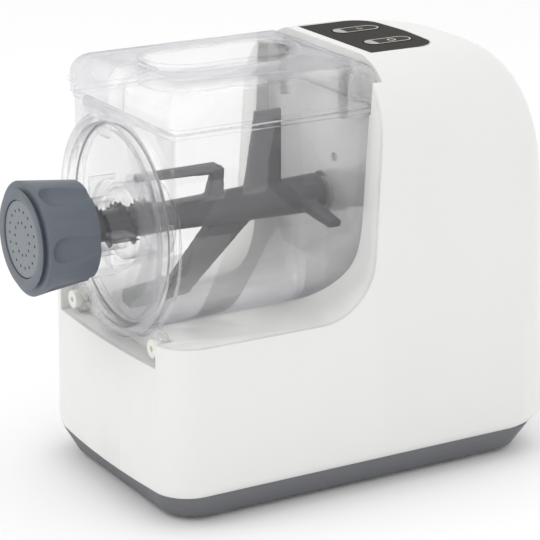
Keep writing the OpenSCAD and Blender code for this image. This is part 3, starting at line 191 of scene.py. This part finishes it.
@dataclass(frozen=True)
class ClearFinish:
    """A see-through moulding, with the faint flow lines of injection moulding."""

    name: str
    tint: str
    edge_tint: str
    roughness: float
    ior: float
    haze: float
    face_body: float
    edge_body: float
    flow_mm: float = 14.0
    facing_blend: float = 0.22
    tint_span: tuple[float, float] = (0.2, 0.6)
    body_span: tuple[float, float] = (0.15, 0.75)
    gloss_span: tuple[float, float] = (0.6, 1.6)

    def build(self) -> bpy.types.Material:
        """Makes the material.

        Returns:
            The clear material.
        """
        mat = bpy.data.materials.new(self.name)
        mat.use_nodes = True
        tree = mat.node_tree
        shader = tree.nodes["Principled BSDF"]
        shader.inputs["Transmission Weight"].default_value = 1.0 - self.haze
        shader.inputs["IOR"].default_value = self.ior
        # a wall seen flat on lets light straight through, and one seen edge on shows its body
        edge = add_node(tree, "ShaderNodeLayerWeight", {"Blend": self.facing_blend})
        # light that runs a long way along the wall takes on the plastic's cool colour
        tone = add_node(tree, "ShaderNodeValToRGB", links={"Fac": edge.outputs["Facing"]})
        for stop, place_at, tint in zip(tone.color_ramp.elements, self.tint_span,
                                        (self.tint, self.edge_tint)):
            stop.position = place_at
            stop.color = linear(tint)
        tree.links.new(tone.outputs["Color"], shader.inputs["Base Color"])
        body = add_node(tree, "ShaderNodeMapRange", {
            "From Min": self.body_span[0], "From Max": self.body_span[1],
            "To Min": self.face_body, "To Max": self.edge_body},
            {"Value": edge.outputs["Facing"]})
        tree.links.new(body.outputs["Result"], shader.inputs["Alpha"])
        place = add_node(tree, "ShaderNodeTexCoord")
        flow = add_node(tree, "ShaderNodeTexNoise", {
            "Scale": 1 / (self.flow_mm * MM), "Detail": 1.0}, {"Vector": place.outputs["Object"]})
        gloss = add_node(tree, "ShaderNodeMapRange", {
            "To Min": self.roughness * self.gloss_span[0],
            "To Max": self.roughness * self.gloss_span[1]},
            {"Value": flow.outputs["Fac"]})
        tree.links.new(gloss.outputs["Result"], shader.inputs["Roughness"])
        relief = add_node(tree, "ShaderNodeBump", {
            "Strength": FLOW_SHARE, "Distance": FLOW_DEPTH_MM * MM}, {"Height": flow.outputs["Fac"]})
        tree.links.new(relief.outputs["Normal"], shader.inputs["Normal"])
        return mat


# Gloss ABS, polished mould: bright white with a sharp, even sheen.
WHITE_ABS = Finish("gloss_abs_white", "E6E6E4", 0.2, Grain.MOULD_POLISH, 6, 0.006,
                   variation=0.008, coat=0.15)
# ABS from a spark-eroded mould: fine even texture that breaks the reflection.
GREY_ABS = Finish("textured_abs_grey", "68696D", 0.5, Grain.SPARK_ERODED, 0.9, 0.04)
# Glass-filled nylon of the shaft: dark, with a soft sheen.
SHAFT_NYLON = Finish("filled_nylon_dark", "4A4B4F", 0.42, Grain.SPARK_ERODED, 0.8, 0.03)
# Moulded nut with fine texture: blue-grey, satin.
NUT_ABS = Finish("satin_abs_blue_grey", "5E656E", 0.42, Grain.SPARK_ERODED, 0.7, 0.03)
# Acetal die: lighter grey, dull.
DIE_ACETAL = Finish("acetal_grey", "7E8388", 0.5, Grain.SPARK_ERODED, 0.7, 0.02)
# Anti-glare polycarbonate panel: brown-black, and dull even at a flat angle.
PANEL_PC = Finish("antiglare_polycarbonate", "302D29", 0.6, Grain.SPARK_ERODED, 0.9, 0.01, specular=0.1)
# Satin ABS frame of the panel: pale grey, with a soft line of light along its rim.
TRIM_ABS = Finish("satin_abs_pale", "C9C9C8", 0.3, Grain.MOULD_POLISH, 4, 0.004)
# Key caps moulded to match the panel: a shade darker, so that their outline is seen.
KEY_ABS = Finish("antiglare_abs_key", "2A2824", 0.55, Grain.SPARK_ERODED, 0.9, 0.01, specular=0.12)
# Opal acrylic over the lamp of each key: cool grey while the lamp is off.
LENS_ACRYLIC = Finish("opal_acrylic_lens", "8F939B", 0.2, Grain.MOULD_POLISH, 5, 0.003)
# Printed ink of the outlines and signs on the panel: thin, pale, dull.
PALE_INK = Finish("screen_print_pale", "C9C6BE", 0.55, Grain.SOLDER_MASK, 0.6, 0.004)
# Unfilled nylon bushings: warm white, slightly waxy.
WHITE_NYLON = Finish("nylon_white", "E9E8E0", 0.45, Grain.MOULD_POLISH, 2, 0.01, ior=1.53)
# Vulcanised rubber: near black and matt.
RUBBER = Finish("rubber_black", "1D1D1E", 0.85, Grain.SPARK_ERODED, 0.7, 0.04, ior=1.52)
# Silicone seals: mid grey with a dull, soft surface.
SEAL_SILICONE = Finish("silicone_grey", "A5A6A6", 0.6, Grain.MOULD_POLISH, 2, 0.01, ior=1.41)
# Drawn steel shafts, pins and screws: bright, with fine marks along the draw.
STEEL = Finish("drawn_steel", "B4B6B8", 0.3, Grain.BRUSHED, 0.5, 0.01, metallic=1.0)
# Die-cast aluminium gearbox: grey, with the uneven skin of the die.
CAST_ALUMINIUM = Finish("die_cast_aluminium", "B2B4B6", 0.5, Grain.CAST, 1.2, 0.05, metallic=1.0)
# Turned brass pinion: yellow, with rings left by the tool.
BRASS = Finish("turned_brass", "C79A4A", 0.28, Grain.TURNED, 0.4, 0.01, metallic=1.0)
# Sintered bronze bushes: brown and porous, so without a sharp sheen.
BRONZE = Finish("sintered_bronze", "9C6B3E", 0.5, Grain.CAST, 0.6, 0.03, metallic=1.0)
# Acetal gears: ivory and slightly waxy.
ACETAL = Finish("acetal_ivory", "E3E0D2", 0.4, Grain.MOULD_POLISH, 2, 0.01, ior=1.48)
# Glass-filled PBT switches, fan and end cap: black, satin.
BLACK_PLASTIC = Finish("moulded_pbt_black", "202123", 0.5, Grain.SPARK_ERODED, 0.8, 0.03)
# Enamelled copper winding: red-brown, ribbed by its turns.
COPPER = Finish("varnished_copper_wire", "A2562B", 0.35, Grain.TURNED, 0.9, 0.08, metallic=1.0)
# Sintered ferrite magnets: charcoal and granular.
FERRITE = Finish("sintered_ferrite", "3A3B3E", 0.7, Grain.CAST, 0.8, 0.03)
# Circuit boards of glass fibre under solder mask: green with a thin clear gloss.
BOARD = Finish("fibreglass_solder_mask", "14502F", 0.35, Grain.SOLDER_MASK, 1.5, 0.01, coat=0.3)
# Epoxy-dipped components: blue, smooth.
COMPONENT = Finish("epoxy_blue", "35507E", 0.45, Grain.MOULD_POLISH, 2, 0.01)
# Styrene-acrylonitrile vessel: clear with a faint milky bloom, and a cool line along each edge.
CLEAR_SAN = ClearFinish("clear_san", "FFFFFF", "A3A2B2", 0.01, 1.42, 0.32, 0.1, 1.0)
# Seamless paper under the object: near white, without sheen.
PALE_FLOOR = Finish("pale_floor", "FAFAFA", 0.9, Grain.SPARK_ERODED, 40, 0.0, variation=0.0)

NODE_FINISHES: dict[str, Finish | ClearFinish] = {
    "housing_shell": WHITE_ABS, "housing_front": WHITE_ABS, "vessel_deck": WHITE_ABS,
    "deck_back": WHITE_ABS, "base_tray": GREY_ABS,
    "foot_front_left": RUBBER, "foot_front_right": RUBBER, "foot_rear_left": RUBBER,
    "foot_rear_right": RUBBER, "tray_screws": STEEL, "panel_trim": TRIM_ABS,
    "control_panel": PANEL_PC, "start_lens": LENS_ACRYLIC, "power_lens": LENS_ACRYLIC,
    "start_button": KEY_ABS, "power_button": KEY_ABS, "control_pcb": BOARD,
    "tact_switches": BLACK_PLASTIC, "gearbox_case": CAST_ALUMINIUM,
    "gearbox_cover": CAST_ALUMINIUM, "gearbox_screws": STEEL, "idler_axle": STEEL,
    "drive_bush_front": BRONZE, "drive_bush_rear": BRONZE, "output_gear": ACETAL,
    "drive_shaft": STEEL, "idler_gear": ACETAL, "motor_can": STEEL, "motor_magnets": FERRITE,
    "motor_end_cap": BLACK_PLASTIC, "motor_screws": STEEL, "motor_shaft": STEEL,
    "motor_armature": COPPER, "motor_pinion": BRASS, "cooling_fan": BLACK_PLASTIC,
    "power_pcb": BOARD, "pcb_components": COMPONENT, "pcb_screws": STEEL, "cord_gland": RUBBER,
    "safety_switch": BLACK_PLASTIC, "sensor_plunger": BLACK_PLASTIC, "mixing_vessel": CLEAR_SAN,
    "shaft_bush": WHITE_NYLON, "shaft_seal": SEAL_SILICONE, "bushing_left": WHITE_NYLON,
    "bushing_right": WHITE_NYLON, "hinge_pins": STEEL, "mixing_shaft": SHAFT_NYLON,
    "lid": CLEAR_SAN, "lid_pin": CLEAR_SAN, "front_plate": CLEAR_SAN,
    "plate_gasket": SEAL_SILICONE, "clamping_nut": NUT_ABS, "die_disc": DIE_ACETAL,
}


class Finishes:
    """Keeps one built material per finish."""

    def __init__(self) -> None:
        """Starts with no materials."""
        self.made: dict[str, bpy.types.Material] = {}

    def get(self, finish: Finish | ClearFinish) -> bpy.types.Material:
        """Gives the finish's material, built once.

        Args:
            finish: The finish.

        Returns:
            Its material.
        """
        if finish.name not in self.made:
            self.made[finish.name] = finish.build()
        return self.made[finish.name]

    def dress(self, obj: bpy.types.Object, finish: Finish | ClearFinish) -> None:
        """Gives an object one material all over.

        Args:
            obj: The object.
            finish: Its finish.
        """
        obj.data.materials.clear()
        obj.data.materials.append(self.get(finish))


FINISHES = Finishes()


def only(obj: bpy.types.Object) -> None:
    """Makes an object the one selected and active one.

    Args:
        obj: The object.
    """
    bpy.ops.object.select_all(action="DESELECT")
    obj.select_set(True)
    bpy.context.view_layer.objects.active = obj


def settle(obj: bpy.types.Object) -> None:
    """Puts an object's place into its mesh, so that it sits at the origin.

    Args:
        obj: The object.
    """
    only(obj)
    bpy.ops.object.transform_apply(location=True, rotation=True, scale=True)


def softened(node: str, name: str, edge_mm: float, seam_y: float | None = None) -> bpy.types.Object:
    """Copies a CAD node's mesh, merges it, and rounds its sharp edges.

    Args:
        node: The CAD node.
        name: Name of the new piece.
        edge_mm: Width of the rounding, 0 for none.
        seam_y: Plane, in metres, where the piece meets its neighbour and stays square.

    Returns:
        The new piece, at the origin.
    """
    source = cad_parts[node]
    obj = bpy.data.objects.new(name, source.data.copy())
    bpy.context.scene.collection.objects.link(obj)
    only(obj)
    if obj.data.has_custom_normals:
        bpy.ops.mesh.customdata_custom_splitnormals_clear()
    bpy.ops.object.mode_set(mode="EDIT")
    bpy.ops.mesh.select_mode(type="EDGE")
    bpy.ops.mesh.select_all(action="SELECT")
    bpy.ops.mesh.remove_doubles(threshold=MERGE_MM * MM)
    bpy.ops.mesh.dissolve_limited(angle_limit=math.radians(FLAT_DEG))
    bpy.ops.mesh.select_all(action="DESELECT")
    bpy.ops.mesh.edges_select_sharp(sharpness=math.radians(EDGE_DEG))
    bpy.ops.object.mode_set(mode="OBJECT")
    if edge_mm > 0:
        weight = obj.data.attributes.new("bevel_weight_edge", "FLOAT", "EDGE")
        for edge in obj.data.edges:
            ends = [obj.data.vertices[k].co.y for k in edge.vertices]
            square = seam_y is not None and all(abs(y - seam_y) < MERGE_MM * MM for y in ends)
            weight.data[edge.index].value = 1.0 if edge.select and not square else 0.0
        mod = obj.modifiers.new("edge", "BEVEL")
        mod.width = edge_mm * MM
        mod.segments = EDGE_STEPS
        mod.limit_method = "WEIGHT"
        mod.use_clamp_overlap = True
        bpy.ops.object.modifier_apply(modifier=mod.name)
    bpy.ops.object.shade_smooth_by_angle(angle=math.radians(EDGE_DEG))
    return obj


@dataclass
class Housing:
    """White housing and the liner of its bay, each of a front and a rear moulding."""

    shell_edge_mm: float = 0.8
    deck_edge_mm: float = 0.6

    def build(self) -> None:
        """Replaces the four CAD mouldings by softened ones that meet without a line."""
        seam_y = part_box("housing_front")[1][1]
        for node, edge in (("housing_shell", self.shell_edge_mm), ("housing_front", self.shell_edge_mm),
                           ("vessel_deck", self.deck_edge_mm), ("deck_back", self.deck_edge_mm)):
            piece = softened(node, f"{node}_moulding", edge, seam_y)
            FINISHES.dress(piece, WHITE_ABS)
            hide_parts(node)
            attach(piece, "base")
            log.info("built %s", piece.name)


@dataclass
class Mouldings:
    """Other mouldings whose edges catch the light."""

    edges_mm: tuple[tuple[str, str, str, float], ...] = (
        ("base_tray", "base", "grey_abs", 0.5), ("mixing_vessel", "vessel", "clear_plastic", 0.35),
        ("lid", "lid", "clear_plastic", 0.35), ("front_plate", "plate", "clear_plastic", 0.35),
        ("clamping_nut", "nut", "nut_plastic", 0.5),
        ("bushing_left", "vessel", "white_nylon", 0.3), ("bushing_right", "vessel", "white_nylon", 0.3),
    )

    def build(self) -> None:
        """Replaces each CAD moulding by a softened one."""
        for node, body, slot, edge in self.edges_mm:
            piece = softened(node, f"{node}_moulding", edge)
            FINISHES.dress(piece, NODE_FINISHES[node])
            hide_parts(node)
            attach(piece, body)
            log.info("built %s", piece.name)


@dataclass
class MixingShaft:
    """Hub, hoop, blades and feed screw moulded in one piece, with full rounded edges."""

    voxel_mm: float = 1.0
    passes: int = 7
    pull: float = 0.5

    def build(self) -> None:
        """Replaces the CAD shaft by one whose edges flow into each other."""
        piece = softened("mixing_shaft", "mixing_shaft_moulding", 0)
        only(piece)
        skin = piece.modifiers.new("skin", "REMESH")
        skin.mode = "VOXEL"
        skin.voxel_size = self.voxel_mm * MM
        bpy.ops.object.modifier_apply(modifier=skin.name)
        flow = piece.modifiers.new("flow", "SMOOTH")
        flow.factor = self.pull
        flow.iterations = self.passes
        bpy.ops.object.modifier_apply(modifier=flow.name)
        bpy.ops.object.shade_smooth()
        FINISHES.dress(piece, SHAFT_NYLON)
        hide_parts("mixing_shaft")
        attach(piece, "mixer")
        log.info("built %s, %d faces", piece.name, len(piece.data.polygons))


class Sign(Enum):
    """Generic sign on a key, by the corners of its line."""

    TRIANGLE = 3
    RING = 40


@dataclass
class PanelPrint:
    """Thin printed outlines and generic signs on the control panel."""

    button_x: float = 19.5
    button_y: float = 81.0
    top_z: float = 280.95
    sunk_mm: float = 0.02
    ink_mm: float = 0.04
    line_mm: float = 0.9
    outline_steps: int = 64
    half_straight: float = 10.5
    radius: float = 7.0
    inset_mm: float = 0.7
    sign_mm: float = 3.0
    sign_dy: float = 3.0
    sign_hole: float = 0.66

    def circle(self, name: str, corners: int, radius: float, x: float, y: float) -> bpy.types.Object:
        """Starts a line as a flat circle on the panel.

        Args:
            name: Name of the piece.
            corners: Corners of the circle.
            radius: Its radius.
            x: Place across.
            y: Place along.

        Returns:
            The circle, at the origin.
        """
        bpy.ops.object.select_all(action="DESELECT")
        place = (x * MM, y * MM, (self.top_z - self.sunk_mm) * MM)
        bpy.ops.mesh.primitive_circle_add(vertices=corners, radius=radius * MM, location=place)
        obj = bpy.context.object
        obj.name = name
        settle(obj)
        return obj

    def band(self, obj: bpy.types.Object, shrink: tuple[float, float], x: float, y: float) -> None:
        """Turns a closed line into a band with the thickness of the ink.

        Args:
            obj: The line.
            shrink: Inner edge's share of the outer one, across and along.
            x: Middle of the line across.
            y: Middle of the line along.
        """
        bpy.ops.object.mode_set(mode="EDIT")
        bpy.ops.mesh.select_all(action="SELECT")
        bpy.ops.mesh.extrude_edges_move()
        bpy.ops.transform.resize(value=(*shrink, 1), center_override=(x * MM, y * MM, self.top_z * MM))
        bpy.ops.object.mode_set(mode="OBJECT")
        mod = obj.modifiers.new("ink", "SOLIDIFY")
        mod.thickness = self.ink_mm * MM
        mod.offset = 0
        bpy.ops.object.modifier_apply(modifier=mod.name)

    def outline(self, name: str, x: float) -> bpy.types.Object:
        """Makes the pale line round a button.

        Args:
            name: Name of the piece.
            x: Place of the button across.

        Returns:
            The line as a thin raised band.
        """
        radius = self.radius - self.inset_mm
        obj = self.circle(name, self.outline_steps, radius, x, self.button_y)
        for vertex in obj.data.vertices:
            vertex.co.y += math.copysign(self.half_straight * MM, vertex.co.y - self.button_y * MM)
        along = 1 - self.line_mm / (self.half_straight + self.radius)
        self.band(obj, ((radius - self.line_mm) / radius, along), x, self.button_y)
        return obj

    def sign(self, name: str, x: float, sign: Sign) -> bpy.types.Object:
        """Makes a generic sign as a thin closed line.

        Args:
            name: Name of the piece.
            x: Place of the button across.
            sign: Which sign.

        Returns:
            The sign as a thin raised band.
        """
        y = self.button_y + self.sign_dy
        obj = self.circle(name, sign.value, self.sign_mm, x, y)
        self.band(obj, (self.sign_hole, self.sign_hole), x, y)
        return obj

    def build(self) -> None:
        """Makes the line round each button and the sign on it."""
        for side, body, sign in ((-1, "start_key", Sign.TRIANGLE), (1, "power_key", Sign.RING)):
            x = side * self.button_x
            for piece in (self.outline(f"{body}_outline", x), self.sign(f"{body}_sign", x, sign)):
                FINISHES.dress(piece, PALE_INK)
                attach(piece, body)
                log.info("built %s", piece.name)


@dataclass(frozen=True)
class SoftLamp:
    """A square area light: place and size in metres, and power in watts."""

    name: str
    spot: tuple[float, float, float]
    size: float
    power: float


@dataclass
class Studio:
    """Camera at the photograph's angle, pale floor and soft light.

    Angles are in degrees, and lens, sensor, target and distance in millimetres.
    """

    azimuth: float = 59.554
    elevation: float = 17.888
    roll: float = 0.143
    lens: float = 164.65
    target: tuple[float, float, float] = (0.014, 3.8, 130.05)
    distance: float = 1638.2
    sensor_mm: float = 36
    clip_m: float = 50
    floor_m: float = 30
    sky_strength: float = 0.95
    lit_point: tuple[float, float, float] = (0, 0, 0.13)
    lamps: tuple[SoftLamp, ...] = (
        SoftLamp("key", (-0.4, -2.0, 1.9), 1.6, 9), SoftLamp("side", (2.3, -0.3, 1.3), 1.8, 3),
        SoftLamp("top", (0.2, 0.2, 2.4), 1.6, 4),
    )

    def build(self) -> None:
        """Makes the camera, the floor and the lights."""
        self.camera()
        self.floor()
        self.lights()

    def camera(self) -> None:
        """Places the camera."""
        a, e = math.radians(self.azimuth), math.radians(self.elevation)
        back = Vector((math.sin(a) * math.cos(e), -math.cos(a) * math.cos(e), math.sin(e)))
        data = bpy.data.cameras.new("camera")
        data.sensor_width = self.sensor_mm
        data.lens = self.lens
        data.clip_end = self.clip_m
        cam = bpy.data.objects.new("camera", data)
        bpy.context.scene.collection.objects.link(cam)
        cam.location = Vector(self.target) * MM + back * self.distance * MM
        turn = (-back).to_track_quat("-Z", "Y").to_matrix().to_4x4()
        turn = turn @ Matrix.Rotation(math.radians(self.roll), 4, "Z")
        cam.rotation_euler = turn.to_euler()
        bpy.context.scene.camera = cam

    def floor(self) -> None:
        """Makes the plain pale floor."""
        bpy.ops.object.select_all(action="DESELECT")
        bpy.ops.mesh.primitive_plane_add(size=self.floor_m, location=(0, 0, 0))
        obj = bpy.context.object
        obj.name = "floor"
        FINISHES.dress(obj, PALE_FLOOR)

    def lights(self) -> None:
        """Sets the sky and three soft area lights."""
        scene = bpy.context.scene
        scene.view_settings.view_transform = "Standard"
        world = bpy.data.worlds.new("studio")
        scene.world = world
        world.use_nodes = True
        sky = world.node_tree.nodes["Background"]
        sky.inputs["Color"].default_value = (1.0, 1.0, 1.0, 1.0)
        sky.inputs["Strength"].default_value = self.sky_strength
        for soft in self.lamps:
            data = bpy.data.lights.new(soft.name, "AREA")
            data.size = soft.size
            data.energy = soft.power
            lamp = bpy.data.objects.new(soft.name, data)
            scene.collection.objects.link(lamp)
            lamp.location = soft.spot
            aim = Vector(self.lit_point) - Vector(soft.spot)
            lamp.rotation_euler = aim.to_track_quat("-Z", "Y").to_euler()


def dress_nodes() -> None:
    """Gives every CAD node its finish."""
    for name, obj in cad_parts.items():
        FINISHES.dress(obj, NODE_FINISHES[name])
    log.info("dressed %d nodes", len(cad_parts))


def main() -> None:
    """Builds the sub-assemblies in order."""
    logging.basicConfig(level=logging.INFO, format="%(name)s %(message)s")
    dress_nodes()
    for assembly in (Housing(), Mouldings(), MixingShaft(), PanelPrint(), Studio()):
        assembly.build()
        log.info("finished %s", type(assembly).__name__)


if __name__ == "__main__":
    main()
